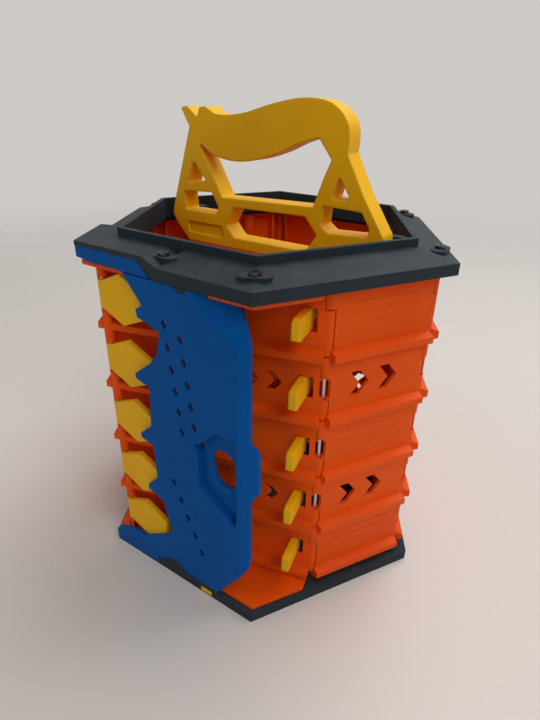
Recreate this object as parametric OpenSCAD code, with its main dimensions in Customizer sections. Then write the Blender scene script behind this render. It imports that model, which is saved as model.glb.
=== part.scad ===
// Roll-out toy race track: a hexagonal carry case wrapped in a hinged five-lane track.
// The track's last section folds over one corner and holds a slam launcher.
// Millimetres, +Z up, origin at the middle of the base's underside, handle along X.

/* [Case] */
// Corner radius of the hexagonal base and of the ring
hex_r = 122; // [120:0.5:124]
// Thickness of the base plate
base_t = 7.5; // [7:0.1:7.9]
// Height of the lower edge of the ring's skirt
skirt_z = 212.8; // [212:0.2:215]
// Height of the ring's skirt
skirt_h = 6.6; // [6:0.2:8]
// Corner radius of the raised rim round the ring's opening
rim_r = 97.7; // [96.5:0.1:98.5]
// Width of the handle across its plane
handle_w = 14; // [13:0.5:15]

/* [Track] */
// Spacing of the lanes
lane_pitch = 40.1; // [39.9:0.1:40.2]
// Height of the lowest lane wall above the floor
lane_z0 = 14; // [13.5:0.1:14.4]
// Height of the lane walls above the running surface
ridge_h = 5; // [4.5:0.25:5.25]
// Thickness of the track plate
plate_t = 2.4; // [2:0.1:2.6]
// Radius of the hinge knuckles
knuckle_r = 3.6; // [3.4:0.1:3.7]
// Radius of the steel hinge pins
pin_r = 1.25; // [1:0.05:1.3]

/* [Launcher] */
// Distance of the launcher's hinge from the corner that it cuts off
corner_cut = 42.2; // [41.8:0.1:42.6]
// Angle of the launcher's deck to its cover
deck_angle = 15.7; // [15.5:0.05:15.9]
// Height of a kicker above the running surface
kicker_h = 18; // [15:0.5:18.5]
// Thickness of the cover
cover_t = 2.6; // [2:0.1:2.6]

/* [Hidden] */
$fn = 48;

orange = "#e4500f";
yellow = "#f0b80e";
blue = "#0b4c9c";
slate = "#2c363c";
steel = "#b9bcc0";

// Clearances: beside moving faces, between a pin and its bore, and past the faces of a cut
run_gap = 0.4;
pin_gap = 0.05;
cut = 1;

lanes = 5;
function lane_z(i) = lane_z0 + lane_pitch * (i - 0.5);
function ridge_z(i) = lane_z0 + lane_pitch * i;
function turn(v, a) = [v[0] * cos(a) - v[1] * sin(a), v[0] * sin(a) + v[1] * cos(a)];
function on_circle(r, a) = turn([r, 0], a);

// Track: the crest of the lane walls lies just inside the base's edge, the hinge axes below the surface
edge_inset = 2.66;
ridge_base = 8.6;
ridge_crest = 4;
crest_off = knuckle_r + ridge_h;
crest_apothem = hex_r * cos(30) - edge_inset;
axis_r = (crest_apothem - crest_off) / cos(30);
track_z0 = base_t + run_gap;
track_z1 = skirt_z - run_gap;
plate_end = 0.35;
window_half = 5.5;
window_back = 2;
knuckle_inner = 7;
knuckle_outer = 19.6;
rib_t = 2.2;
rib_depth = 5;
rib_in = 8;
relief_h = 0.25;
arrow_size = 1.3;
arrow_gap = 9.8;
pin_z0 = track_z0 + 0.3;
pin_z1 = track_z1 - 0.3;
rear_end = axis_r - 15;
post_r = 4.5;
post_h = 18;
post_in = 30;
peg_r = 2.4;
peg_h = 5;
screw_r = 1.5;
screw_head_r = 3;
screw_head_h = 1.8;
thin_head_h = 1.2;

// Launcher: hinge place, deck length and the linkage's pivots, all in the deck's own frame
corner_f = on_circle(axis_r, -60);
hinge_h = corner_f + corner_cut * on_circle(1, 60);
panel_1_len = axis_r - corner_cut;
deck_len = norm(hinge_h - on_circle(axis_r, 240)) + 1.2;
side_t = 2.2;
deck_z0 = track_z0 + side_t;
deck_z1 = track_z1 - side_t;
deck_rib_depth = 10;
deck_rib_t = 3;
paddle_x = 6.3 - deck_len;
paddle_y = -knuckle_r - 3.4;
kicker_x = -10.8;
kicker_y = 1.3;
kicker_lean = 3;
kicker_t = 4.4;
kicker_half = 6.3;
kicker_hub_r = 2.6;
kicker_hub_half = kicker_half + 0.3;
rod_y = 6;
rod_t = 3;
rod_half = 4;
finger_half = 2;
cover_face = hex_r * cos(30) - 0.16;
side_apothem = hex_r * cos(30) - 1.66;

// Ring levels, from the skirt's lower edge
flange_z = skirt_z + skirt_h;
flange_rise = 5.1;
rim_z = flange_z + flange_rise;
rim_h = 4.7;
flange_t = 2.6;
wall_t = 3;
flat_z = rim_z - 0.5;
under_t = 2.6;
pad_z = flange_z + 3.9;
flange_mid = (hex_r + rim_r) / 2;
screw_spots = concat(
    [[-2.5, -flange_mid * cos(30)]],
    [for (a = [-60, 5, 60, 120, 175]) on_circle(flange_mid - 1.85, a)]);
lug_reach = 34;
lug_t = 5;
lug_y = handle_w / 2 + lug_t;
handle_bolt_x = [27 - rim_r, rim_r - 27];
handle_bolt_y = 3 - handle_w / 2;
handle_bolt_r = 2;
handle_bolt_z = skirt_z + 6;

// Places a child in the frame of a track section: x along the lanes, -y outward
module at(place, angle) {
    translate([place[0], place[1], 0])
        rotate([0, 0, angle])
            children();
}

module at_deck() {
    at(hinge_h, deck_angle) children();
}

module hex(r, z0, z1) {
    translate([0, 0, z0])
        cylinder(r = r, h = z1 - z0, $fn = 6);
}

// A rod or bore along Z between two heights
module upright(r, z0, z1) {
    translate([0, 0, z0])
        cylinder(r = r, h = z1 - z0);
}

// Extrudes a section drawn in (y, z) along x
module along_x(x0, x1) {
    translate([x0, 0, 0])
        rotate([90, 0, 90])
            linear_extrude(x1 - x0)
                children();
}

module box(x0, x1, y0, y1, z0, z1) {
    translate([x0, y0, z0])
        cube([x1 - x0, y1 - y0, z1 - z0]);
}

// Lane walls: flat-topped ridges, the outer two cut off at the track's edges
module ridges(x0, x1, z0, z1) {
    intersection() {
        along_x(x0, x1)
            for (i = [0:lanes])
                translate([0, ridge_z(i)])
                    polygon([[-knuckle_r + 1, -ridge_base / 2], [-crest_off, -ridge_crest / 2],
                             [-crest_off, ridge_crest / 2], [-knuckle_r + 1, ridge_base / 2]]);
        box(x0 - cut, x1 + cut, -crest_off - cut, 0, z0, z1);
    }
}

// Heights that the first and the second section's knuckles take on a hinge
module knuckle_spans(first, r, grow) {
    for (i = [1:lanes]) {
        outer_lane = i == 1 || i == lanes;
        low = first ? -knuckle_outer : knuckle_inner;
        high = first ? (outer_lane ? knuckle_inner - 2 * run_gap : -knuckle_inner) : knuckle_outer;
        z0 = max(lane_z(i) + low, deck_z0 + run_gap);
        z1 = min(lane_z(i) + high, deck_z1 - run_gap);
        upright(r, z0 - grow, z1 + grow);
    }
}

// What a section loses at a hinge: room for its neighbour's knuckles, the pin's bore and the windows
module hinge_cut(first) {
    knuckle_spans(!first, knuckle_r + run_gap, run_gap);
    upright(pin_r + pin_gap, 0, skirt_z);
    for (i = [2:lanes - 1])
        box(-window_back, window_back, -knuckle_r - cut, knuckle_r,
            lane_z(i) - window_half, lane_z(i) + window_half);
}

// One arrow of the cut-outs in the second and fourth lanes
module chevron(size) {
    rotate([90, 0, 0])
        linear_extrude(plate_t + 2 * cut, center = true)
            scale(size)
                polygon([[-5, -6], [0, -6], [5, 0], [0, 6], [-5, 6], [0, 0]]);
}

module chevron_pair(x, i, size, gap) {
    for (side = [-1, 1])
        translate([x + gap * side, -knuckle_r + plate_t / 2, lane_z(i)])
            chevron(size);
}

// Fine raised lines across the plain lanes
module relief_lines(x0, x1) {
    for (i = [1, 3, 5], k = [-1.5:1:1.5])
        box(x0, x1, -knuckle_r - relief_h, -knuckle_r + cut,
            lane_z(i) + 6 * k - 0.4, lane_z(i) + 6 * k + 0.4);
}

// Ribs behind a section's plate
module back_ribs(x0, x1, z0, z1) {
    for (z = concat([z0 + rib_t], [for (i = [1:lanes - 1]) ridge_z(i)], [z1 - rib_t]))
        box(x0, x1, -knuckle_r + plate_t - 0.5, rib_depth, z - rib_t / 2, z + rib_t / 2);
    for (x = [x0, x1 - rib_t])
        box(x, x + rib_t, -knuckle_r + plate_t - 0.5, rib_depth, z0 + rib_t, z1 - rib_t);
}

// A section of track between two hinge axes; an end without a hinge stops plain
module section(len, z0, z1, hinge_start, hinge_end, arrows) {
    x0 = plate_end;
    x1 = hinge_end ? len - plate_end : len;
    difference() {
        union() {
            box(x0, x1, -knuckle_r, -knuckle_r + plate_t, z0, z1);
            ridges(x0, x1, z0, z1);
            relief_lines(rib_in + 3, len - rib_in - 3);
            back_ribs(rib_in, len - rib_in, z0, z1);
            if (hinge_start)
                knuckle_spans(false, knuckle_r, 0);
            if (hinge_end)
                translate([len, 0, 0])
                    knuckle_spans(true, knuckle_r, 0);
        }
        if (hinge_start)
            hinge_cut(false);
        if (hinge_end)
            translate([len, 0, 0])
                hinge_cut(true);
        for (i = [2, 4], x = arrows)
            chevron_pair(x * len, i, arrow_size, arrow_gap);
    }
}

// Posts that hold a fixed section between base and ring
module fixed_section(len, hinge_start, hinge_end) {
    spots = [post_in, len - post_in];
    difference() {
        union() {
            section(len, base_t, skirt_z, hinge_start, hinge_end, [0.3, 0.7]);
            for (x = spots) {
                translate([x, 2, 0])
                    upright(post_r, base_t, base_t + post_h);
                translate([x, 2, 0])
                    upright(post_r, skirt_z - post_h, skirt_z);
                translate([x, 2, 0])
                    upright(peg_r, skirt_z - cut, skirt_z + peg_h);
            }
        }
        for (x = spots)
            translate([x, 2, 0])
                upright(screw_r + pin_gap, base_t - cut, base_t + post_h - 4);
    }
}

module rear_panel_right() {
    color(orange)
        at(on_circle(axis_r, 120), 240)
            fixed_section(axis_r, true, true);
}

module rear_panel_left() {
    color(orange)
        at(on_circle(axis_r, 180), 300)
            fixed_section(rear_end, true, false);
}

module track_panel_3() {
    color(orange)
        at(on_circle(axis_r, 60), 180)
            section(axis_r, track_z0, track_z1, true, true, [0.3, 0.7]);
}

module track_panel_2() {
    color(orange)
        at(on_circle(axis_r, 0), 120)
            section(axis_r, track_z0, track_z1, true, true, [0.3, 0.7]);
}

module track_panel_1() {
    color(orange)
        at(hinge_h, 60)
            section(panel_1_len, track_z0, track_z1, true, true, [0.464]);
}

module hinge_pin(place) {
    color(steel)
        at(place, 0)
            upright(pin_r, pin_z0, pin_z1);
}

// Spots of the fixed sections' posts, in the case's frame
module at_posts() {
    at(on_circle(axis_r, 120), 240)
        for (x = [post_in, axis_r - post_in])
            translate([x, 2, 0])
                children();
    at(on_circle(axis_r, 180), 300)
        for (x = [post_in, rear_end - post_in])
            translate([x, 2, 0])
                children();
}

// Base: a hexagonal tray, ribbed below, with a seat for the blue strip and the yellow nub
base_skin = 3;
base_wall = 4;
nub_x = [20, 29];
strip_x = [-70, -19];

module base_plate() {
    color(slate)
        difference() {
            hex(hex_r, 0, base_t);
            difference() {
                hex(hex_r - base_wall / cos(30), -cut, base_t - base_skin);
                for (a = [0, 60, 120])
                    rotate([0, 0, a])
                        box(-hex_r, hex_r, -1.5, 1.5, -cut, base_t);
                at_posts()
                    upright(post_r + 1.5, -cut, base_t);
                box(nub_x[0] - 3, nub_x[1] + 3, -hex_r, -88, -cut, base_t);
                box(strip_x[0], strip_x[1] + 3, -hex_r, -98, -cut, base_t);
            }
            at_posts() {
                upright(screw_r + pin_gap, -cut, base_t + cut);
                upright(screw_head_r + run_gap, -cut, 3.2);
            }
            box(nub_x[0], nub_x[1], -hex_r, -91, 1, 4.6);
            box(strip_x[0], strip_x[1], -hex_r, -cover_face + cover_t, 0.8, base_t + cut);
        }
}

// Blue edge strip of the base, under the cover's foot
module base_strip() {
    color(blue)
        intersection() {
            box(strip_x[0], strip_x[1], -cover_face, -cover_face + cover_t, 0.8, base_t);
            hex(hex_r, 0, base_t);
        }
}

// Yellow peg in the base's front edge
module base_nub() {
    color(yellow)
        box(nub_x[0], nub_x[1], -hex_r * cos(30), -91, 1, 4.6);
}

module base_screws() {
    color(steel)
        at_posts()
            difference() {
                union() {
                    upright(screw_r, 3.2 - screw_head_h, base_t + 10);
                    upright(screw_head_r, 3.2 - screw_head_h, 3.2);
                }
                box(-2, 2, -0.4, 0.4, 0, 3.2 - screw_head_h + 0.8);
            }
}

// Plan of the ring's flat part, where the flange stays level over the blue strip
module flat_zone(front, side) {
    polygon([[-12 + front, -130], [-12 + front, -60], [-60, -64 + side], [-110, -80 + side], [-110, -130]]);
}

// A hexagon under the flange's sloping planes, lowered by a drop
module under_slope(r, z0, drop) {
    slope = atan2(flange_rise, (hex_r - rim_r) * cos(30));
    difference() {
        hex(r, z0, rim_z + cut - drop);
        for (a = [30:60:330])
            rotate([0, 0, a])
                translate([hex_r * cos(30), 0, flange_z - drop])
                    rotate([0, slope, 0])
                        box(-60, 20, -hex_r, hex_r, 0, 40);
    }
}

// Screw pad: a low oval on the sloping flange, its top level
module screw_pad(z0, z1) {
    box(-4, 4, -4.5, 4.5, z0, z1);
    for (side = [-4, 4])
        translate([side, 0, 0])
            upright(4.5, z0, z1);
}

module top_ring() {
    color(slate)
        difference() {
            union() {
                difference() {
                    under_slope(hex_r, skirt_z, 0);
                    under_slope(hex_r - wall_t / cos(30), skirt_z - cut, flange_t);
                    translate([0, 0, skirt_z - cut])
                        linear_extrude(20)
                            flat_zone(14, 0);
                }
                hex(rim_r, skirt_z + 2, rim_z + rim_h);
                intersection() {
                    hex(hex_r, flat_z - flange_t, flat_z);
                    translate([0, 0, skirt_z])
                        linear_extrude(20)
                            flat_zone(1.5, 1.5);
                }
                difference() {
                    intersection() {
                        hex(hex_r, skirt_z, flat_z);
                        ring_step();
                    }
                    hex(hex_r - wall_t / cos(30), skirt_z - cut, skirt_z + under_t);
                }
                for (p = screw_spots)
                    at(p, atan2(p[1], p[0]) + 90) {
                        screw_pad(flange_z - 1, pad_z);
                        upright(post_r, skirt_z + under_t, flange_z);
                    }
            }
            difference() {
                hex(rim_r - wall_t / cos(30), skirt_z - cut, rim_z + rim_h + cut);
                handle_lugs();
            }
            for (p = screw_spots)
                at(p, 0)
                    upright(screw_r + pin_gap, skirt_z, rim_z + rim_h);
            handle_bolt(handle_bolt_r + pin_gap, handle_bolt_y, lug_y + cut);
        }
}

// End wall of the sloping skirt beside the flat part, slanted as a ramp
module ring_step() {
    translate([0, -rim_r * cos(30) + cut, 0])
        rotate([90, 0, 0])
            linear_extrude(hex_r)
                polygon([[-14.6, flat_z], [-8, flat_z], [3, flange_z - 0.2], [3, skirt_z], [-2, skirt_z]]);
}

// Cheeks at both ends of the opening, behind the handle's feet
module handle_lugs() {
    for (side = [0, 1])
        mirror([side, 0, 0])
            box(rim_r - lug_reach, rim_r, handle_w / 2, lug_y, skirt_z + 2, rim_z + rim_h - 3);
}

// Bolts or bores through cheek and foot, entered from behind
module handle_bolt(r, y0, y1) {
    for (x = handle_bolt_x)
        translate([x, y0, handle_bolt_z])
            rotate([-90, 0, 0])
                cylinder(r = r, h = y1 - y0);
}

module ring_under_plate() {
    color(slate)
        difference() {
            hex(hex_r - (wall_t + 0.1) / cos(30), skirt_z, skirt_z + under_t);
            hex(rim_r + 0.1, skirt_z - cut, skirt_z + 4);
            translate([0, 0, skirt_z - cut])
                linear_extrude(5)
                    flat_zone(6, 6);
            at_posts()
                upright(peg_r + pin_gap, skirt_z - cut, skirt_z + 4);
            for (p = screw_spots)
                at(p, 0)
                    upright(screw_r + pin_gap, skirt_z - cut, skirt_z + 4);
        }
}

// Blue strip under the ring's flat part, in line with the cover
module ring_strip() {
    color(blue)
        intersection() {
            hex(hex_r - 0.2, skirt_z + run_gap, flat_z - flange_t);
            back_to_front(-cover_face, -cover_face + cover_t)
                polygon([[-70, skirt_z + 3], [-47, skirt_z + 1], [-31, skirt_z + 1], [-24, skirt_z],
                         [-3, skirt_z], [-12.3, flat_z - flange_t], [-70, flat_z - flange_t]]);
        }
}

module ring_screws() {
    color(steel)
        for (p = screw_spots)
            at(p, 0)
                difference() {
                    union() {
                        upright(screw_r, skirt_z + 0.2, pad_z + screw_head_h);
                        upright(screw_head_r, pad_z, pad_z + screw_head_h);
                    }
                    for (a = [0, 90])
                        rotate([0, 0, a])
                            box(-1.8, 1.8, -0.35, 0.35, pad_z + 0.8, pad_z + 4);
                }
}

// Handle in (x, height above the skirt): outline, finger gap and openings, the grip's waves as curves
function curve(a, b, c, d, t) =
    (2 * b + (c - a) * t + (2 * a - 5 * b + 4 * c - d) * t * t + (3 * b - a - 3 * c + d) * t * t * t) / 2;
function smooth(p, n) = [for (i = [1:len(p) - 3], k = [0:n - 1])
    curve(p[i - 1], p[i], p[i + 1], p[i + 2], k / n)];
grip_top = [[-40, 74.5], [-32, 73.6], [-16.5, 75.4], [4.3, 80.8], [24.6, 84], [42, 81.7], [52.6, 71.8],
            [53.6, 57], [50, 48]];
grip_under = [[-60, 66], [-55.5, 60], [-43.3, 51.1], [-27.2, 47.6], [-10.5, 48.8], [7.4, 54], [21.9, 60.3],
              [35.2, 64.2], [46, 66]];
handle_outline = concat(
    [[-65.7, -8], [-77.4, 4.3], [-79.9, 9.4], [-78.8, 13.8], [-60.7, 66.1], [-67.3, 77], [-62.5, 78],
     [-54, 71.8], [-51.8, 77.4], [-47.5, 78], [-39.5, 74]],
    smooth(grip_top, 6),
    [[53.6, 57], [65.3, 36], [79.5, 15], [81.4, 5], [68, -6], [57, -8]]);
finger_gap = concat(
    smooth(grip_under, 6),
    [[35.2, 64.2], [44.1, 53.2], [40.1, 44], [33.7, 26.2], [-35.3, 24.3]]);
handle_windows = [
    [[-68.4, 25.3], [-43.7, 26.8], [-38.1, 17.6], [-40.3, 12.8], [-67.9, 12.8]],
    [[-32.5, 6.7], [-25.2, 19.1], [28.8, 20.2], [37.5, 10], [30, -1], [-25.2, -1]],
    [[40.3, 27.9], [65.3, 27], [71, 18.5], [70.1, 13.6], [44.6, 12.4], [39.3, 16.2]],
    [[49.7, 45.6], [58.2, 32.1], [45.5, 32.3]],
    [[-58.7, 45.8], [-64.5, 30.7], [-48, 33.4]]];
foot_groove = [[-66.4, 5.2], [-35.9, 5.2], [-33.9, -2.4], [-65.5, -2.4]];
groove_depth = 1.2;
handle_round = 1.2;

// Rounds the corners of a 2-D shape
module rounded() {
    offset(r = handle_round, $fn = 24)
        offset(delta = -handle_round)
            children();
}

module handle() {
    color(yellow)
        translate([0, 0, skirt_z])
            difference() {
                back_to_front(-handle_w / 2, handle_w / 2)
                    difference() {
                        rounded() polygon(handle_outline);
                        rounded() polygon(finger_gap);
                        for (window = handle_windows)
                            rounded() polygon(window);
                    }
                for (y = [-handle_w / 2, handle_w / 2])
                    back_to_front(y - groove_depth, y + groove_depth)
                        rounded() polygon(foot_groove);
                translate([0, 0, -skirt_z])
                    handle_bolt(handle_bolt_r + pin_gap, handle_bolt_y, lug_y);
            }
}

module handle_bolts() {
    color(steel) {
        handle_bolt(handle_bolt_r, handle_bolt_y + 0.3, lug_y);
        handle_bolt(2 * handle_bolt_r, lug_y, lug_y + 2.4);
    }
}

// Deck: the running surface of the launcher, slotted for paddles and kickers
guide_x = [-100, -54];
barrel_r = 2.8;
barrel_gap = 10.2;

module deck_guides() {
    for (i = [1:lanes], x = guide_x)
        box(x - 3, x + 3, -knuckle_r + 1, rod_y + rod_t + 2.4, lane_z(i) - 7, lane_z(i) + 7);
}

module guide_bores() {
    for (i = [1:lanes])
        box(-deck_len + 10, -20, rod_y - run_gap, rod_y + rod_t + run_gap,
            lane_z(i) - rod_half - run_gap, lane_z(i) + rod_half + run_gap);
}

module deck_slots() {
    for (i = [1:lanes]) {
        box(paddle_x - 4.2, paddle_x + 2.6, -knuckle_r - cut, 0, lane_z(i) - 2.8, lane_z(i) + 2.8);
        box(kicker_x - 3, kicker_x + 5.7, -knuckle_r - cut, 0, lane_z(i) - kicker_half - 0.6,
            lane_z(i) + kicker_half + 0.6);
    }
}

// Barrels round the paddles' shaft, between the paddles
module shaft_barrels() {
    for (i = [0:lanes]) {
        z0 = i == 0 ? deck_z0 : lane_z(i) + barrel_gap;
        z1 = i == lanes ? deck_z1 : lane_z(i + 1) - barrel_gap;
        translate([paddle_x, paddle_y, 0])
            upright(barrel_r, z0, z1);
        box(paddle_x - barrel_r + 0.6, paddle_x + barrel_r - 0.6, paddle_y, -knuckle_r + 1, z0, z1);
    }
}

module launcher_deck() {
    color(orange)
        at_deck()
            difference() {
                union() {
                    box(-deck_len, -plate_end, -knuckle_r, -knuckle_r + plate_t, deck_z0, deck_z1);
                    ridges(-deck_len, -plate_end, deck_z0, deck_z1);
                    for (i = [1:lanes - 1])
                        box(-deck_len + 2, -6.6, -knuckle_r + 1, deck_rib_depth,
                            ridge_z(i) - deck_rib_t / 2, ridge_z(i) + deck_rib_t / 2);
                    for (z = [deck_z0, deck_z1 - 8], x = [-110, -60])
                        box(x - 4, x + 4, -knuckle_r + 1, deck_rib_depth, z, z + 8);
                    deck_guides();
                    shaft_barrels();
                    knuckle_spans(true, knuckle_r, 0);
                }
                box(-deck_len - cut, -deck_len + 12, -crest_off - cut, -knuckle_r - 1.5,
                    0, lane_z0 + ridge_base);
                hinge_cut(true);
                deck_slots();
                guide_bores();
                for (i = [2, 4])
                    chevron_pair(-35, i, 1, 7);
                translate([paddle_x, paddle_y, 0])
                    upright(pin_r + pin_gap, 0, skirt_z);
                translate([kicker_x, kicker_y, 0])
                    upright(pin_r + pin_gap, 0, skirt_z);
                at_deck_screws() {
                    upright(screw_r + pin_gap, 0, deck_z0 + 9);
                    upright(screw_r + pin_gap, deck_z1 - 9, skirt_z);
                }
            }
}

// Screw spots of the side plates: two into the deck and two into the cover's posts
module at_deck_screws() {
    for (x = [-110, -60])
        translate([x, 5, 0])
            children();
}

cover_post_x = [18.5, 30];
cover_post_y = -cover_face + cover_t + 4;

module at_cover_posts() {
    for (x = cover_post_x)
        translate([x, cover_post_y, 0])
            children();
}

// Side plate: closes the wedge between deck and cover, from the hinge round to the far end
module side_plate(z0) {
    inner = deck_rib_depth;
    far = turn([-deck_len, inner], deck_angle) + hinge_h;
    near = turn([-6, inner], deck_angle) + hinge_h;
    front = -cover_face + cover_t;
    lip = [[-cut, -4.2], [-cut, -14]];
    difference() {
        translate([0, 0, z0])
            linear_extrude(side_t)
                intersection() {
                    polygon(concat(
                        [far, near],
                        [turn([-6, 0], deck_angle) + hinge_h],
                        [for (p = lip) turn(p, deck_angle) + hinge_h],
                        [on_circle(side_apothem / cos(30), -60) + [18, 18 * tan(60)]],
                        [[side_apothem / cos(30) / 2, front], [-60, front], [-66.5, front + 4.5],
                         [-69, front + 11], [-67.2, front + 16.2]]));
                    circle(r = side_apothem / cos(30), $fn = 6);
                }
        at_deck() {
            translate([paddle_x, paddle_y, 0])
                upright(pin_r + pin_gap, 0, skirt_z);
            translate([kicker_x, kicker_y, 0])
                upright(pin_r + pin_gap, 0, skirt_z);
            at_deck_screws()
                upright(screw_r + pin_gap, 0, skirt_z);
        }
        at_cover_posts()
            upright(screw_r + pin_gap, 0, skirt_z);
        at_launcher_screws(z0 == track_z0 ? track_z0 : track_z1, z0 == track_z0)
            upright(screw_head_r + 0.1, -cut, thin_head_h);
    }
}

module at_launcher_screws(z, up) {
    at_deck()
        at_deck_screws()
            translate([0, 0, z])
                mirror([0, 0, up ? 0 : 1])
                    children();
    at_cover_posts()
        translate([0, 0, z])
            mirror([0, 0, up ? 0 : 1])
                children();
}

module side_plate_lower() {
    color(orange) side_plate(track_z0);
}

module side_plate_upper() {
    color(orange) side_plate(deck_z1);
}

module launcher_screws() {
    color(steel)
        for (up = [true, false])
            at_launcher_screws(up ? track_z0 : track_z1, up) {
                difference() {
                    union() {
                        upright(screw_r, 0.2, 10);
                        upright(screw_head_r, 0.2, thin_head_h);
                    }
                    box(-2, 2, -0.4, 0.4, -cut, 0.8);
                }
            }
}

// Cover: outline in (x, z), front facets, finger recess and vents
cover_left = [
    [-24, track_z1], [-11.3, 197], [-16.5, 193.6], [-15.8, 189.2], [-9, 187.5], [0.4, 184], [-3.2, 170],
    [-9, 163], [-22.4, 152.6], [-22, 149.6], [-11.5, 146.5], [-12, 139], [-13.4, 119], [-23.5, 110.5],
    [-22.7, 107.5], [-13.5, 105], [-12.5, 94], [-12.5, 80], [-21.6, 71], [-21.3, 67.5], [-9, 63], [-3.5, 42],
    [-6, 36], [-15.6, 29], [-30, 20], [-43, 18.4], [-57, 14], [-61, 10]];
cover_bottom = [[-61, track_z0], [-14, track_z0], [-8, 13], [2, 13], [8, track_z0], [34, track_z0]];
cover_right = [[55, 38], [56.6, 46], [56.6, 92], [60.3, 98], [60.3, 125.5], [56.6, 132.5], [56.6, 193],
               [50.5, 206], [46, track_z1], [21, track_z1], [19, track_z1 - 2.8], [15, track_z1 - 2.8],
               [13, track_z1]];
recess_floor = 4;

module cover_outline() {
    polygon(concat(cover_left, cover_bottom, cover_right));
}

// Solid behind the cover's faceted front, moved back by a depth
module cover_front(depth) {
    difference() {
        box(-80, 80, -cover_face + depth, -cover_face + 30, 0, skirt_z + 10);
        translate([52, -cover_face + depth, 0])
            rotate([0, 0, 42])
                box(0, 60, -60, 0, -cut, skirt_z + 20);
        translate([43.4, -cover_face + depth, 194])
            rotate([0, -49, 0])
                rotate([0, 0, 24])
                    box(0, 90, -60, 0, -90, 90);
    }
}

// Finger recess beside the pull tab
module recess_plan(grow) {
    polygon([[23 - grow, 120 + grow], [23 - grow, 91 - grow], [49, 73.4 - 1.2 * grow], [50.5 + grow, 80],
             [50.5 + grow, 134 + grow], [36, 134 + grow]]);
}

// Slanted oval through the recess
module finger_hole() {
    r = 8.5;
    half = 4.1;
    translate([39.7, 0, 108.5])
        rotate([90, -11, 0]) {
            for (side = [-half, half])
                translate([0, side, 0])
                    cylinder(r = r, h = hex_r);
            translate([-r, -half, 0])
                cube([2 * r, 2 * half, hex_r]);
        }
}

module back_to_front(y0, y1) {
    translate([0, y1, 0])
        rotate([90, 0, 0])
            linear_extrude(y1 - y0)
                children();
}

module cover_vents() {
    for (k = [0:5], side = [0, 1])
        back_to_front(-cover_face - 5, -cover_face + 20)
            translate([4 + 11 * side + 1.6 * k, 190 - 13 * k - 6 * side])
                polygon([[0, 3.4], [2.4, 0], [0, -3.4], [-2.4, 0]]);
    for (k = [0:4])
        back_to_front(-cover_face - 5, -cover_face + 20)
            translate([2 + 5 * k, 84 - 12 * k])
                polygon([[0, 3.4], [2.4, 0], [0, -3.4], [-2.4, 0]]);
}

module launcher_cover() {
    color(blue)
        difference() {
            union() {
                intersection() {
                    difference() {
                        cover_front(0);
                        difference() {
                            cover_front(cover_t);
                            back_to_front(-cover_face, -cover_face + recess_floor + cover_t)
                                recess_plan(cover_t);
                        }
                        back_to_front(-cover_face - cut, -cover_face + recess_floor)
                            recess_plan(0);
                    }
                    back_to_front(-cover_face - cut, -cover_face + 25)
                        cover_outline();
                }
                at_cover_posts() {
                    upright(3.6, deck_z0, deck_z0 + 12);
                    upright(3.6, deck_z1 - 12, deck_z1);
                }
                for (x = cover_post_x, z = [deck_z0 + 1, deck_z1 - 12])
                    box(x - 3.6, x + 3.6, -cover_face + cover_t - 0.6, cover_post_y, z, z + 11);
            }
            box(-80, 80, -cover_face + cover_t, 0, deck_z1, skirt_z);
            cover_vents();
            finger_hole();
            at_cover_posts()
                upright(screw_r + pin_gap, deck_z0 - cut, deck_z0 + 9);
            at_cover_posts()
                upright(screw_r + pin_gap, deck_z1 - 9, deck_z1 + cut);
        }
}

// Dark catches in the cover's upper and lower notches
module latch_catches() {
    color(slate)
        back_to_front(-cover_face, -cover_face + cover_t) {
            polygon([[-13.4, track_z0], [-7.6, 12.8], [1.6, 12.8], [7.4, track_z0]]);
            polygon([[13.5, track_z1], [15.2, track_z1 - 2.5], [18.8, track_z1 - 2.5], [20.5, track_z1]]);
        }
}

module paddle_shaft() {
    color(steel)
        at_deck()
            translate([paddle_x, paddle_y, 0])
                upright(pin_r, pin_z0, pin_z1);
}

module kicker_shaft() {
    color(steel)
        at_deck()
            translate([kicker_x, kicker_y, 0])
                upright(pin_r, pin_z0, pin_z1);
}

// Torsion springs on the kickers' shaft, as plain sleeves
module kicker_springs() {
    wire = 0.7;
    height = 5;
    color(steel)
        at_deck()
            for (i = [1:lanes])
                translate([kicker_x, kicker_y, lane_z(i) + kicker_hub_half + wire])
                    difference() {
                        upright(pin_r + wire, 0, height);
                        upright(pin_r + pin_gap, -cut, height + cut);
                    }
}

// Slam paddle: a hexagonal plate on a barrel, with a finger through the deck to the pushrod
module paddle(i) {
    plate_half = 15.3;
    color(yellow)
        at_deck()
            translate([paddle_x, paddle_y, lane_z(i)])
                difference() {
                    union() {
                        rotate([0, 0, -deck_angle])
                            translate([0, 0.7, 0])
                                rotate([90, 0, 0])
                                    linear_extrude(3.5)
                                        polygon([[0, -8], [17, -plate_half], [36, -7], [36, 7],
                                                 [17, plate_half], [0, 8]]);
                        upright(2.9, -8.5, 8.5);
                        box(-finger_half, finger_half, 0, rod_y + rod_t + 1 - paddle_y,
                            -finger_half, finger_half);
                    }
                    upright(pin_r + pin_gap, -9, 9);
                }
}

// Pushrod: a flat bar behind the deck, windowed for the paddle's and the kicker's fingers
module pushrod(i) {
    color(yellow)
        at_deck()
            translate([0, rod_y, lane_z(i)])
                difference() {
                    box(paddle_x - 5.4, -4.8, 0, rod_t, -rod_half, rod_half);
                    box(paddle_x - 2.8, paddle_x + 2.7, -cut, rod_t + cut, -2.4, 2.4);
                    box(kicker_x - 3.5, kicker_x + 2.7, -cut, rod_t + cut, -2.4, 2.4);
                }
}

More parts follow.
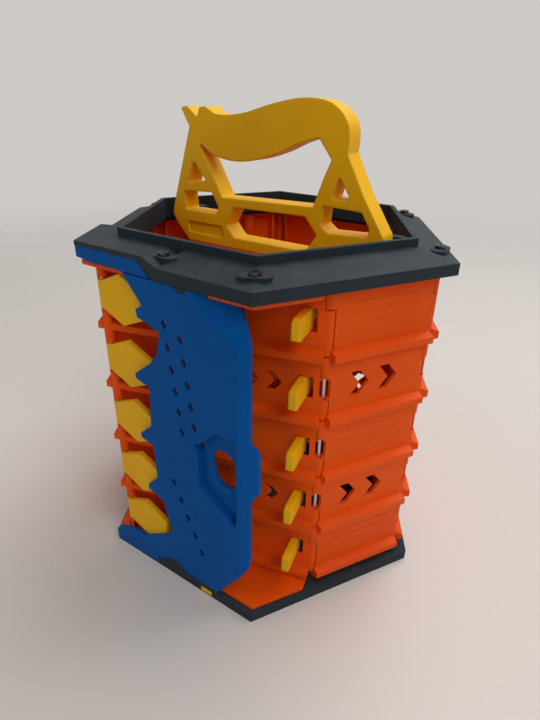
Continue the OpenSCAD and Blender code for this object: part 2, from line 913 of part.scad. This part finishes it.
// Kicker: a plate that leans back from its hub, with a finger down to the pushrod
module kicker(i) {
    reach = kicker_h + knuckle_r + kicker_y;
    color(yellow)
        at_deck()
            translate([kicker_x, kicker_y, lane_z(i)])
                difference() {
                    union() {
                        rotate([0, 0, -kicker_lean])
                            translate([-kicker_t / 2, 0, 0])
                                rotate([90, 0, 90])
                                    linear_extrude(kicker_t)
                                        polygon([[0, -kicker_half], [-reach + 3, -kicker_half],
                                                 [-reach, -kicker_half + 1.5], [-reach, kicker_half - 1.5],
                                                 [-reach + 3, kicker_half], [0, kicker_half]]);
                        upright(kicker_hub_r, -kicker_hub_half, kicker_hub_half);
                        box(-1.5, 1.5, 0, rod_y + rod_t + 1 - kicker_y, -finger_half, finger_half);
                    }
                    upright(pin_r + pin_gap, -kicker_hub_half - cut, kicker_hub_half + cut);
                }
}

base_plate();
base_strip();
base_nub();
base_screws();
top_ring();
ring_under_plate();
ring_strip();
ring_screws();
handle();
handle_bolts();
rear_panel_left();
rear_panel_right();
track_panel_3();
track_panel_2();
track_panel_1();
hinge_pin(on_circle(axis_r, 180));  // pin_rear_left
hinge_pin(on_circle(axis_r, 120));  // pin_rear
hinge_pin(on_circle(axis_r, 60));  // pin_right_rear
hinge_pin(on_circle(axis_r, 0));  // pin_right
hinge_pin(hinge_h);  // pin_launcher
launcher_deck();
side_plate_lower();
side_plate_upper();
launcher_cover();
launcher_screws();
latch_catches();
paddle_shaft();
kicker_shaft();
kicker_springs();
for (i = [1:lanes]) {
    paddle(i);
    pushrod(i);
    kicker(i);
}
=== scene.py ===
"""Looks of a roll-out toy race track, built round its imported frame.

The solids carry every form. This script gives each moulded plastic and each steel its own
material, with edges that are rounded in the shading, and sets up the camera, the floor and the
light.
"""

import logging
import math
from abc import ABC, abstractmethod
from dataclasses import dataclass
from enum import Enum
from typing import Any, ClassVar

import bpy
from mathutils import Matrix, Vector

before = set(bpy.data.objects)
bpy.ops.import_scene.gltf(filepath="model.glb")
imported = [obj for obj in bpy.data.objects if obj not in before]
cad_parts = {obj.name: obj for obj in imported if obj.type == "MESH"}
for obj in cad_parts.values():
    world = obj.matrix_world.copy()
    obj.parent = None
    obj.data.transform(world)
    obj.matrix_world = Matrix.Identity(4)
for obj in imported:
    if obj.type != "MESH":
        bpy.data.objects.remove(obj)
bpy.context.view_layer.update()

LOG = logging.getLogger("race_track")
MM = 0.001

SRGB_KNEE = 0.04045
SRGB_SLOPE = 12.92
SRGB_SHIFT = 0.055
SRGB_POWER = 2.4

Place = tuple[float, float, float]


def linear(colour: str) -> tuple[float, float, float, float]:
    """Turns a written colour into the renderer's linear values.

    Args:
        colour: an sRGB colour such as "#e4500f".

    Returns:
        Red, green, blue and alpha.
    """
    written = [int(colour[i:i + 2], 16) / 255 for i in (1, 3, 5)]
    red, green, blue = (
        part / SRGB_SLOPE if part <= SRGB_KNEE
        else ((part + SRGB_SHIFT) / (1 + SRGB_SHIFT)) ** SRGB_POWER
        for part in written)
    return (red, green, blue, 1.0)


class Wire:
    """A value socket that can stand in a Python expression."""

    def __init__(self, shader: "Shader", socket: bpy.types.NodeSocket) -> None:
        """Keeps the socket and the shader that its Math nodes go into."""
        self.shader = shader
        self.socket = socket

    def _math(self, operation: str, first: "Wire | float", second: "Wire | float") -> "Wire":
        """Adds one Math node.

        Args:
            operation: the Math node's operation.
            first: its first value or wire.
            second: its second value or wire.

        Returns:
            The node's result.
        """
        settings = {"operation": operation}
        return self.shader.wire("ShaderNodeMath", settings, {0: first, 1: second})

    def __add__(self, other: "Wire | float") -> "Wire":
        """Sum."""
        return self._math("ADD", self, other)

    def __radd__(self, other: "Wire | float") -> "Wire":
        """Sum with the wire on the right."""
        return self._math("ADD", other, self)

    def __sub__(self, other: "Wire | float") -> "Wire":
        """Difference."""
        return self._math("SUBTRACT", self, other)

    def __rsub__(self, other: "Wire | float") -> "Wire":
        """Difference with the wire on the right."""
        return self._math("SUBTRACT", other, self)

    def __mul__(self, other: "Wire | float") -> "Wire":
        """Product."""
        return self._math("MULTIPLY", self, other)

    def __rmul__(self, other: "Wire | float") -> "Wire":
        """Product with the wire on the right."""
        return self._math("MULTIPLY", other, self)

    def step(self, low: float, high: float) -> "Wire":
        """Smooth step from 0 at low to 1 at high.

        Args:
            low: the value that gives 0.
            high: the value that gives 1.

        Returns:
            The stepped value.
        """
        settings = {"interpolation_type": "SMOOTHSTEP"}
        inputs = {"Value": self, "From Min": low, "From Max": high, "To Min": 0.0, "To Max": 1.0}
        return self.shader.wire("ShaderNodeMapRange", settings, inputs)


@dataclass(frozen=True)
class Marks:
    """Noise that is cut into soft spots.

    Attributes:
        waves: waves in a metre.
        octaves: octaves of the noise.
        keep: share that each octave keeps.
        low: noise that leaves the surface clear.
        high: noise that marks it fully.
    """

    waves: float
    octaves: float
    keep: float
    low: float
    high: float


class Shader:
    """The node tree of one material or world."""

    EDGE_SAMPLES: ClassVar[int] = 6

    def __init__(self, owner: bpy.types.Material | bpy.types.World) -> None:
        """Empties the owner's node tree.

        Args:
            owner: the material or world that the nodes belong to.
        """
        self.owner = owner
        owner.use_nodes = True
        self.tree = owner.node_tree
        self.tree.nodes.clear()

    def node(self, kind: str, settings: dict[str, Any] | None = None,
             inputs: dict[Any, Any] | None = None) -> bpy.types.Node:
        """Adds a node.

        Args:
            kind: the node's type.
            settings: its settings, which are set before its sockets.
            inputs: values, wires or sockets by the name or the number of the input.

        Returns:
            The node.
        """
        node = self.tree.nodes.new(kind)
        for key, value in (settings or {}).items():
            setattr(node, key, value)
        for key, value in (inputs or {}).items():
            if isinstance(key, int):
                socket = node.inputs[key]
            else:
                socket = next(s for s in node.inputs if s.enabled and s.name == key)
            source = value.socket if isinstance(value, Wire) else value
            if isinstance(source, bpy.types.NodeSocket):
                self.tree.links.new(source, socket)
            else:
                socket.default_value = source
        return node

    def wire(self, kind: str, settings: dict[str, Any] | None = None,
             inputs: dict[Any, Any] | None = None, output: str | None = None) -> Wire:
        """Adds a node and returns one of its outputs.

        Args:
            kind: the node's type.
            settings: its settings.
            inputs: values or wires for its sockets.
            output: the output's name, or None for the first that is in use.

        Returns:
            The output as a wire.
        """
        node = self.node(kind, settings, inputs)
        found = next(s for s in node.outputs if s.enabled and output in (None, s.name))
        return Wire(self, found)

    def place(self) -> Wire:
        """The point on the object, in metres."""
        return self.wire("ShaderNodeTexCoord", None, None, "Object")

    def facing(self) -> Wire:
        """The direction that the surface faces in."""
        return self.wire("ShaderNodeNewGeometry", None, None, "Normal")

    def noise(self, place: Wire, waves: float, octaves: float, keep: float) -> Wire:
        """Noise of one scale.

        Args:
            place: the point that it is read at.
            waves: waves in a unit of that point.
            octaves: octaves of the noise.
            keep: share that each octave keeps.

        Returns:
            Values around 0.5.
        """
        inputs = {"Vector": place, "Scale": waves, "Detail": octaves, "Roughness": keep}
        return self.wire("ShaderNodeTexNoise", None, inputs, "Fac")

    def marks(self, place: Wire, marks: Marks) -> Wire:
        """Soft spots.

        Args:
            place: the point that they are read at, in metres.
            marks: the kind of spots.

        Returns:
            A mask that is 1 on the spots.
        """
        noise = self.noise(place, marks.waves, marks.octaves, marks.keep)
        return noise.step(marks.low, marks.high)

    def mix(self, share: Wire, first: Any, second: Any) -> Wire:
        """Mixes two colours.

        Args:
            share: how much of the second colour shows.
            first: a colour or wire.
            second: a colour or wire.

        Returns:
            The mixed colour.
        """
        inputs = {"Factor": share, "A": first, "B": second}
        return self.wire("ShaderNodeMix", {"data_type": "RGBA"}, inputs, "Result")

    def edges(self, radius: float) -> tuple[Wire, Wire]:
        """Rounds the shading of sharp edges.

        Args:
            radius: the rounding's radius in metres.

        Returns:
            The rounded normal, and a mask that is 0 on flats and grows along edges.
        """
        settings = {"samples": self.EDGE_SAMPLES}
        rounded = self.wire("ShaderNodeBevel", settings, {"Radius": radius})
        pair = {0: rounded, 1: self.facing()}
        along = self.wire("ShaderNodeVectorMath", {"operation": "DOT_PRODUCT"}, pair, "Value")
        return rounded, 1 - along

    def finish(self, surface: dict[str, Any]) -> bpy.types.Material:
        """Ends the tree in a Principled surface.

        Args:
            surface: values and wires of its sockets.

        Returns:
            The material.
        """
        node = self.node("ShaderNodeBsdfPrincipled", None, surface)
        self.node("ShaderNodeOutputMaterial", None, {"Surface": node.outputs[0]})
        return self.owner


class Grain(Enum):
    """Surface of the mould that a plastic came from, as waves in a metre and bump strength."""

    POLISHED = (900.0, 0.06)
    SATIN = (1600.0, 0.16)
    ERODED = (2200.0, 0.42)


@dataclass(frozen=True)
class Plastic:
    """A moulded plastic with flow marks, handling scuffs, pale worn edges and some dust.

    Attributes:
        name: the material's name.
        slot: the record's material slot; not used.
        colour: the colour as moulded.
        deep: the colour where the melt ran thick.
        worn: the colour of rubbed edges.
        gloss: roughness on a clean flat.
        grain: the mould's surface.
        dust: how much dust lies on level faces.
        sheen: level of the clear reflection.
        edge: radius of the rounding on its edges, in millimetres.
    """

    name: str
    slot: str
    colour: str
    deep: str
    worn: str
    gloss: float
    grain: Grain
    dust: float
    sheen: float
    edge: float

    FLOW: ClassVar[Marks] = Marks(waves=14.0, octaves=3.0, keep=0.6, low=0.38, high=0.7)
    SCUFF: ClassVar[Marks] = Marks(waves=95.0, octaves=6.0, keep=0.68, low=0.54, high=0.72)
    RUB: ClassVar[Marks] = Marks(waves=160.0, octaves=4.0, keep=0.7, low=0.36, high=0.62)
    DUST: ClassVar[Marks] = Marks(waves=60.0, octaves=5.0, keep=0.7, low=0.35, high=0.75)
    DUST_COLOUR: ClassVar[str] = "#b9b2a8"

    # Edge masks between which rubbing sets in, and upward facing between which dust settles.
    RUB_FROM: ClassVar[float] = 0.02
    RUB_FULL: ClassVar[float] = 0.22
    LEVEL_FROM: ClassVar[float] = 0.55
    LEVEL_FULL: ClassVar[float] = 0.95

    # Shares of the second colour that the marks bring in.
    FLOW_TINT: ClassVar[float] = 0.45
    RUB_TINT: ClassVar[float] = 0.4
    SCUFF_TINT: ClassVar[float] = 0.05

    # Roughness that the grain and the marks add.
    GRAIN_ROUGH: ClassVar[float] = 0.08
    SCUFF_ROUGH: ClassVar[float] = 0.1
    RUB_ROUGH: ClassVar[float] = 0.12
    DUST_ROUGH: ClassVar[float] = 0.4

    GRAIN_OCTAVES: ClassVar[float] = 3.0
    GRAIN_KEEP: ClassVar[float] = 0.6
    GRAIN_DEPTH: ClassVar[float] = 0.12 * MM

    def material(self) -> bpy.types.Material:
        """Builds the material.

        Returns:
            The material.
        """
        shader = Shader(bpy.data.materials.new(self.name))
        place = shader.place()
        normal, edge = shader.edges(self.edge * MM)
        waves, strength = self.grain.value
        flow = shader.marks(place, self.FLOW)
        scuff = shader.marks(place, self.SCUFF)
        fine = shader.noise(place, waves, self.GRAIN_OCTAVES, self.GRAIN_KEEP)
        rubbed = edge.step(self.RUB_FROM, self.RUB_FULL) * shader.marks(place, self.RUB)
        colour = shader.mix(flow * self.FLOW_TINT, linear(self.colour), linear(self.deep))
        wear = rubbed * self.RUB_TINT + scuff * self.SCUFF_TINT
        colour = shader.mix(wear, colour, linear(self.worn))
        height = shader.wire("ShaderNodeSeparateXYZ", None, {0: shader.facing()}, "Z")
        level = height.step(self.LEVEL_FROM, self.LEVEL_FULL)
        dusty = level * shader.marks(place, self.DUST) * self.dust
        colour = shader.mix(dusty, colour, linear(self.DUST_COLOUR))
        rough = (self.gloss + fine * self.GRAIN_ROUGH + scuff * self.SCUFF_ROUGH
                 + rubbed * self.RUB_ROUGH + dusty * self.DUST_ROUGH)
        bump = shader.wire("ShaderNodeBump", None, {
            "Height": fine, "Strength": strength, "Distance": self.GRAIN_DEPTH, "Normal": normal})
        return shader.finish({
            "Base Color": colour, "Roughness": rough, "Specular IOR Level": self.sheen,
            "Normal": bump})


@dataclass(frozen=True)
class Steel:
    """Drawn steel with fine lines round it and dull spots.

    Attributes:
        name: the material's name.
        slot: the record's material slot; not used.
        colour: the clean metal.
        dull: the tarnished metal.
    """

    name: str
    slot: str
    colour: str
    dull: str

    TARNISH: ClassVar[Marks] = Marks(waves=240.0, octaves=5.0, keep=0.7, low=0.5, high=0.75)
    TARNISH_TINT: ClassVar[float] = 0.6
    TARNISH_ROUGH: ClassVar[float] = 0.2

    LINE_STRETCH: ClassVar[Place] = (900.0, 900.0, 60.0)
    LINE_WAVES: ClassVar[float] = 2.0
    LINE_OCTAVES: ClassVar[float] = 3.0
    LINE_KEEP: ClassVar[float] = 0.6
    LINE_ROUGH: ClassVar[float] = 0.12
    LINE_STRENGTH: ClassVar[float] = 0.15
    LINE_DEPTH: ClassVar[float] = 0.05 * MM

    CLEAN_ROUGH: ClassVar[float] = 0.24

    def material(self) -> bpy.types.Material:
        """Builds the material.

        Returns:
            The material.
        """
        shader = Shader(bpy.data.materials.new(self.name))
        place = shader.place()
        drawn = shader.wire("ShaderNodeMapping", {"vector_type": "POINT"}, {
            "Vector": place, "Scale": self.LINE_STRETCH})
        lines = shader.noise(drawn, self.LINE_WAVES, self.LINE_OCTAVES, self.LINE_KEEP)
        spots = shader.marks(place, self.TARNISH)
        colour = shader.mix(spots * self.TARNISH_TINT, linear(self.colour), linear(self.dull))
        rough = self.CLEAN_ROUGH + lines * self.LINE_ROUGH + spots * self.TARNISH_ROUGH
        bump = shader.wire("ShaderNodeBump", None, {
            "Height": lines, "Strength": self.LINE_STRENGTH, "Distance": self.LINE_DEPTH})
        return shader.finish({
            "Base Color": colour, "Metallic": 1.0, "Roughness": rough, "Normal": bump})


class Finish(Enum):
    """The finishes of the toy."""

    ORANGE = Plastic(
        "track_orange", "orange", colour="#f45a0a", deep="#e24a06", worn="#f58a50",
        gloss=0.38, grain=Grain.POLISHED, dust=0.01, sheen=0.12, edge=0.5)
    YELLOW = Plastic(
        "lever_yellow", "yellow", colour="#fbbf08", deep="#efad04", worn="#fada62",
        gloss=0.42, grain=Grain.SATIN, dust=0.01, sheen=0.16, edge=0.6)
    SOFT_YELLOW = Plastic(
        "rounded_yellow", "yellow", colour="#fbbf08", deep="#efad04", worn="#fada62",
        gloss=0.42, grain=Grain.SATIN, dust=0.01, sheen=0.16, edge=1.6)
    BLUE = Plastic(
        "cover_blue", "blue", colour="#0258a6", deep="#014d96", worn="#2f78c4",
        gloss=0.44, grain=Grain.SATIN, dust=0.0, sheen=0.06, edge=0.7)
    SLATE = Plastic(
        "case_slate", "slate", colour="#273239", deep="#1f2930", worn="#4d5a61",
        gloss=0.55, grain=Grain.ERODED, dust=0.04, sheen=0.16, edge=0.6)
    STEEL = Steel("pin_steel", "steel", colour="#c6c8ca", dull="#8d9094")
    BLACK_STEEL = Steel("screw_black", "steel", colour="#54595c", dull="#2b2f32")

    def material(self) -> bpy.types.Material:
        """The finish's material, made once."""
        made = bpy.data.materials.get(self.value.name)
        return made if made else self.value.material()


def numbered(word: str, count: int) -> list[str]:
    """Names of nodes that repeat.

    Args:
        word: what the nodes are called.
        count: how many there are.

    Returns:
        The names, numbered from 1.
    """
    return [f"{word}_{i}" for i in range(1, count + 1)]


class SubAssembly(ABC):
    """Nodes of the frame that make up one part of the toy."""

    @abstractmethod
    def finishes(self) -> dict[Finish, list[str]]:
        """The sub-assembly's node names by finish."""

    def dress(self) -> None:
        """Gives each node its finish and reports it."""
        for finish, names in self.finishes().items():
            for name in names:
                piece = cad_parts[name]
                piece.data.materials.clear()
                piece.data.materials.append(finish.material())
                LOG.info("%s: %s in %s", type(self).__name__, name, finish.value.name)


class CarryCase(SubAssembly):
    """The base, the top ring with the plate under it, and their screws."""

    def finishes(self) -> dict[Finish, list[str]]:
        """The case's node names by finish."""
        return {
            Finish.SLATE: ["base_plate", "top_ring", "ring_under_plate"],
            Finish.BLACK_STEEL: ["ring_screws"],
            Finish.STEEL: ["base_screws", "handle_bolts"]}


class CaseTrim(SubAssembly):
    """The strips and the nub at the edges of base and ring."""

    def finishes(self) -> dict[Finish, list[str]]:
        """The trim's node names by finish."""
        return {Finish.BLUE: ["base_strip", "ring_strip"], Finish.YELLOW: ["base_nub"]}


class CarryGrip(SubAssembly):
    """The handle."""

    def finishes(self) -> dict[Finish, list[str]]:
        """The handle's node name by finish."""
        return {Finish.SOFT_YELLOW: ["handle"]}


@dataclass
class Track(SubAssembly):
    """The track's panels and the pins of its hinges.

    Attributes:
        swinging: panels that swing out.
    """

    swinging: int = 3

    def finishes(self) -> dict[Finish, list[str]]:
        """The track's node names by finish."""
        fixed = ["rear_panel_left", "rear_panel_right"]
        pins = ["pin_rear_left", "pin_rear", "pin_right_rear", "pin_right", "pin_launcher"]
        return {
            Finish.ORANGE: [*fixed, *numbered("track_panel", self.swinging)],
            Finish.STEEL: pins}


class LaunchCover(SubAssembly):
    """The cover over the launcher's corner, and its catches."""

    def finishes(self) -> dict[Finish, list[str]]:
        """The cover's node names by finish."""
        return {Finish.BLUE: ["launcher_cover"], Finish.SLATE: ["latch_catches"]}


class Launcher(SubAssembly):
    """The launcher's deck and side plates, with its shafts, springs and screws."""

    def finishes(self) -> dict[Finish, list[str]]:
        """The launcher's node names by finish."""
        return {
            Finish.ORANGE: ["launcher_deck", "side_plate_lower", "side_plate_upper"],
            Finish.STEEL: ["launcher_screws", "paddle_shaft", "kicker_shaft", "kicker_springs"]}


@dataclass
class SlamLinkage(SubAssembly):
    """The paddles, pushrods and kickers.

    Attributes:
        lanes: lanes of the track, with one of each.
    """

    lanes: int = 5

    def finishes(self) -> dict[Finish, list[str]]:
        """The linkage's node names by finish."""
        return {
            Finish.SOFT_YELLOW: [*numbered("paddle", self.lanes), *numbered("kicker", self.lanes)],
            Finish.YELLOW: numbered("pushrod", self.lanes)}


@dataclass(frozen=True)
class Lamp:
    """A square soft light that points at the toy.

    Attributes:
        name: the light's name.
        place: where it hangs, in metres.
        side: its side in metres.
        power: its power in watts.
    """

    name: str
    place: Place
    side: float
    power: float

    TARGET: ClassVar[Place] = (0.0, 0.0, 0.14)

    def hang(self) -> None:
        """Adds the light to the scene."""
        data = bpy.data.lights.new(self.name, "AREA")
        data.shape = "SQUARE"
        data.size = self.side
        data.energy = self.power
        lamp = bpy.data.objects.new(self.name, data)
        lamp.location = self.place
        aim = Vector(self.TARGET) - Vector(self.place)
        lamp.rotation_euler = aim.to_track_quat("-Z", "Y").to_euler()
        bpy.context.scene.collection.objects.link(lamp)


@dataclass
class Studio:
    """Floor, pale surroundings and soft light.

    Attributes:
        floor_colour: the floor's colour.
        floor_patch: the colour of its slightly darker patches.
        patches: the kind of those patches.
        patch_tint: share of their colour that shows.
        floor_rough: the floor's roughness.
        near: radius that the floor is whole within, in metres.
        far: radius that the floor has faded out at, in metres.
        corners: corners of the round floor.
        surroundings: the colour behind the toy.
        ambient: strength of the surroundings' light on the toy.
        shown: strength that is added where they are seen or mirrored.
        lamps: the lights.
    """

    floor_colour: str = "#e2dcd6"
    floor_patch: str = "#d3cbc4"
    patches: Marks = Marks(waves=3.0, octaves=2.0, keep=0.5, low=0.3, high=0.7)
    patch_tint: float = 0.06
    floor_rough: float = 0.65
    near: float = 0.4
    far: float = 1.5
    corners: int = 64
    surroundings: str = "#f4efeb"
    ambient: float = 0.22
    shown: float = 0.46
    lamps: tuple[Lamp, ...] = (
        Lamp("key", (1.0, -0.5, 1.3), side=0.9, power=8.0),
        Lamp("fill", (-1.1, -0.8, 0.8), side=1.2, power=2.5),
        Lamp("top", (0.25, 0.7, 1.45), side=1.2, power=15.0))

    def floor(self) -> None:
        """Builds a round floor that fades into the surroundings."""
        turns = [2 * math.pi * k / self.corners for k in range(self.corners)]
        rim = [(self.far * math.cos(a), self.far * math.sin(a), 0.0) for a in turns]
        mesh = bpy.data.meshes.new("floor")
        mesh.from_pydata(rim, [], [tuple(range(self.corners))])
        floor = bpy.data.objects.new("floor", mesh)
        mesh.materials.append(self.floor_material())
        bpy.context.scene.collection.objects.link(floor)

    def floor_material(self) -> bpy.types.Material:
        """Builds the floor's material, which turns clear towards the rim.

        Returns:
            The material.
        """
        shader = Shader(bpy.data.materials.new("floor"))
        place = shader.place()
        radius = shader.wire("ShaderNodeVectorMath", {"operation": "LENGTH"}, {0: place}, "Value")
        tone = shader.marks(place, self.patches) * self.patch_tint
        colour = shader.mix(tone, linear(self.floor_colour), linear(self.floor_patch))
        solid = shader.node("ShaderNodeBsdfPrincipled", None, {
            "Base Color": colour, "Roughness": self.floor_rough})
        clear = shader.node("ShaderNodeBsdfTransparent")
        faded = shader.node("ShaderNodeMixShader", None, {
            0: radius.step(self.near, self.far), 1: solid.outputs[0], 2: clear.outputs[0]})
        shader.node("ShaderNodeOutputMaterial", None, {"Surface": faded.outputs[0]})
        return shader.owner

    def light(self) -> None:
        """Hangs the lights and sets a dim, even world that looks pale behind the toy."""
        for lamp in self.lamps:
            lamp.hang()
        world = bpy.data.worlds.new("even_light")
        sky = Shader(world)
        seen = sky.wire("ShaderNodeLightPath", None, None, "Is Camera Ray")
        mirrored = sky.wire("ShaderNodeLightPath", None, None, "Is Glossy Ray")
        through = sky.wire("ShaderNodeLightPath", None, None, "Is Transmission Ray")
        strength = self.ambient + (seen + mirrored + through) * self.shown
        even = sky.node("ShaderNodeBackground", None, {
            "Color": linear(self.surroundings), "Strength": strength})
        sky.node("ShaderNodeOutputWorld", None, {"Surface": even.outputs[0]})
        bpy.context.scene.world = world
        bpy.context.scene.view_settings.view_transform = "Standard"


@dataclass
class PhotoCamera:
    """A camera at the photograph's angle.

    Attributes:
        place: where it stands, in metres.
        ahead: the direction that it looks in.
        right: the direction to its right.
        lens: focal length in millimetres.
        sensor: width of the sensor in millimetres.
        nearest: distance that it starts to see at, in metres.
    """

    place: Place = (0.187377, -0.280114, 0.296278)
    ahead: Place = (-0.49349, 0.74201, -0.45376)
    right: Place = (0.82709, 0.56175, 0.01909)
    lens: float = 25.738
    sensor: float = 36.0
    nearest: float = 0.01

    def build(self) -> None:
        """Adds the camera and makes it the scene's."""
        data = bpy.data.cameras.new("photo_camera")
        data.lens = self.lens
        data.sensor_width = self.sensor
        data.clip_start = self.nearest
        camera = bpy.data.objects.new("photo_camera", data)
        back = -Vector(self.ahead).normalized()
        side = Vector(self.right).normalized()
        above = back.cross(side)
        turn = Matrix((side, above, back)).transposed().to_4x4()
        camera.matrix_world = Matrix.Translation(Vector(self.place)) @ turn
        bpy.context.scene.collection.objects.link(camera)
        bpy.context.scene.camera = camera


def main() -> None:
    """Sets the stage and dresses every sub-assembly."""
    logging.basicConfig(level=logging.INFO)
    PhotoCamera().build()
    studio = Studio()
    studio.floor()
    studio.light()
    case = (CarryCase(), CaseTrim(), CarryGrip())
    track = (Track(), LaunchCover(), Launcher(), SlamLinkage())
    for part in (*case, *track):
        part.dress()


if __name__ == "__main__":
    main()
